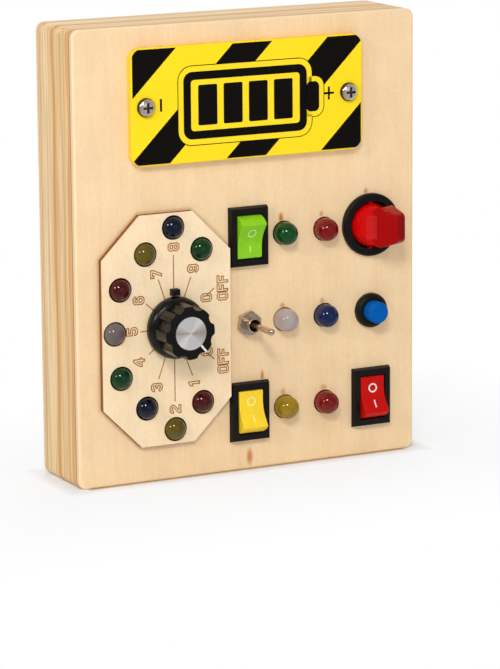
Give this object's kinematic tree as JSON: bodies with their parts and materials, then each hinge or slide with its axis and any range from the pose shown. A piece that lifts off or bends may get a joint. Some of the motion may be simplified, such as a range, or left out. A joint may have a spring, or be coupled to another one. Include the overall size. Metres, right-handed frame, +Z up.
{
  "type": "wooden busy board",
  "caption": "Hollow wooden box with a striped plate, an octagonal dial with a rotary knob, rocker, paddle, toggle and push switches, lamps and a rear battery bay.",
  "frame": {"origin": "centre of the case's bottom face", "axes": "+X to the right seen from the front, +Y from the front to the back (the front panel faces -Y), +Z up"},
  "size_m": [0.13, 0.0451, 0.157],
  "materials": {
    "birch_plywood": "matte",
    "frame_wood": "matte",
    "zinc_steel": "satin",
    "nickel_steel": "gloss",
    "yellow_acrylic": "gloss",
    "black_plastic": "satin",
    "nickel_brass": "gloss",
    "brown_laminate": "matte",
    "tinned_brass": "satin",
    "white_plastic": "satin",
    "black_gloss_plastic": "gloss",
    "spun_aluminium": "satin",
    "green_plastic": "gloss",
    "yellow_plastic": "gloss",
    "red_plastic": "gloss",
    "red_clear_plastic": "gloss",
    "blue_plastic": "satin",
    "red_lens": "gloss",
    "olive_lens": "gloss",
    "blue_lens": "gloss",
    "green_lens": "gloss",
    "white_lens": "gloss",
    "board_laminate": "satin",
    "resistor_coat": "matte",
    "cell_wrap": "gloss",
    "wire_insulation": "satin"
  },
  "bodies": {
    "case": {"front_panel": "birch_plywood", "dial_plate": "birch_plywood", "back_panel": "birch_plywood", "front_frame": "frame_wood", "rear_frame": "frame_wood", "back_screws": "zinc_steel", "hazard_plate": "yellow_acrylic", "plate_screws": "nickel_steel", "plate_nuts": "zinc_steel", "rotary_body": "black_plastic", "rotary_bushing": "nickel_brass", "rotary_nut": "nickel_brass", "rotary_wafer": "brown_laminate", "rotary_pins": "tinned_brass", "rocker_housing_green": "black_plastic", "rocker_housing_yellow": "black_plastic", "rocker_housing_red": "black_plastic", "rocker_terminals": "tinned_brass", "paddle_housing": "black_plastic", "paddle_terminals": "tinned_brass", "toggle_body": "black_plastic", "toggle_bushing": "nickel_brass", "toggle_nut": "nickel_brass", "toggle_terminals": "tinned_brass", "button_housing": "black_plastic", "button_nut": "black_plastic", "button_spring": "zinc_steel", "button_terminals": "tinned_brass", "dial_lamps_red": "red_lens", "dial_lamps_yellow": "olive_lens", "dial_lamps_blue": "blue_lens", "dial_lamps_green": "green_lens", "dial_lamp_white": "white_lens", "panel_lamp_green": "green_lens", "panel_lamps_red": "red_lens", "panel_lamp_white": "white_lens", "panel_lamp_blue": "blue_lens", "panel_lamp_yellow": "olive_lens", "lamp_leads": "tinned_brass", "dial_board": "board_laminate", "panel_board": "board_laminate", "board_spacers": "white_plastic", "resistors": "resistor_coat", "battery_tray": "black_plastic", "batteries": "cell_wrap", "battery_contacts": "tinned_brass", "wiring": "wire_insulation"},
    "knob": {"dial_knob": "black_gloss_plastic", "knob_cap": "spun_aluminium", "knob_set_screw": "zinc_steel", "rotary_shaft": "white_plastic", "rotary_rotor": "white_plastic"},
    "green_rocker": {"rocker_green": "green_plastic"},
    "yellow_rocker": {"rocker_yellow": "yellow_plastic"},
    "red_rocker": {"rocker_red": "red_plastic"},
    "paddle": {"paddle_lever": "red_clear_plastic"},
    "toggle": {"toggle_lever": "nickel_brass"},
    "button": {"button_cap": "blue_plastic"},
    "battery_door": {"battery_cover": "black_plastic", "battery_cover_screws": "zinc_steel"}
  },
  "joints": [
    {"name": "knob_turn", "type": "hinge", "parent": "case", "child": "knob", "pos_m": [-0.02965, -0.015, 0.0538], "axis": [0, -1, 0], "range_deg": [-261, 0]},
    {"name": "green_rocker_tilt", "type": "hinge", "parent": "case", "child": "green_rocker", "pos_m": [-0.0004, -0.015, 0.0823], "axis": [1, 0, 0], "range_deg": [-36, 0]},
    {"name": "yellow_rocker_tilt", "type": "hinge", "parent": "case", "child": "yellow_rocker", "pos_m": [-0.0004, -0.015, 0.0208], "axis": [1, 0, 0], "range_deg": [0, 36]},
    {"name": "red_rocker_tilt", "type": "hinge", "parent": "case", "child": "red_rocker", "pos_m": [0.0476, -0.015, 0.0208], "axis": [1, 0, 0], "range_deg": [0, 36]},
    {"name": "paddle_tilt", "type": "hinge", "parent": "case", "child": "paddle", "pos_m": [0.0476, -0.015, 0.0823], "axis": [0, 0, 1], "range_deg": [-44, 0]},
    {"name": "toggle_flip", "type": "hinge", "parent": "case", "child": "toggle", "pos_m": [-0.0004, -0.0164, 0.0518], "axis": [0.4226, 0, 0.9063], "range_deg": [-24, 0]},
    {"name": "button_press", "type": "slide", "parent": "case", "child": "button", "axis": [0, 1, 0], "range_m": [0, 0.0025], "stiffness_N_per_m": 600, "springref_m": -0.0015, "deforming": ["button_spring"]},
    {"name": "battery_door_pull", "type": "slide", "parent": "case", "child": "battery_door", "axis": [0, 1, 0], "range_m": [0, 0.03]}
  ]
}
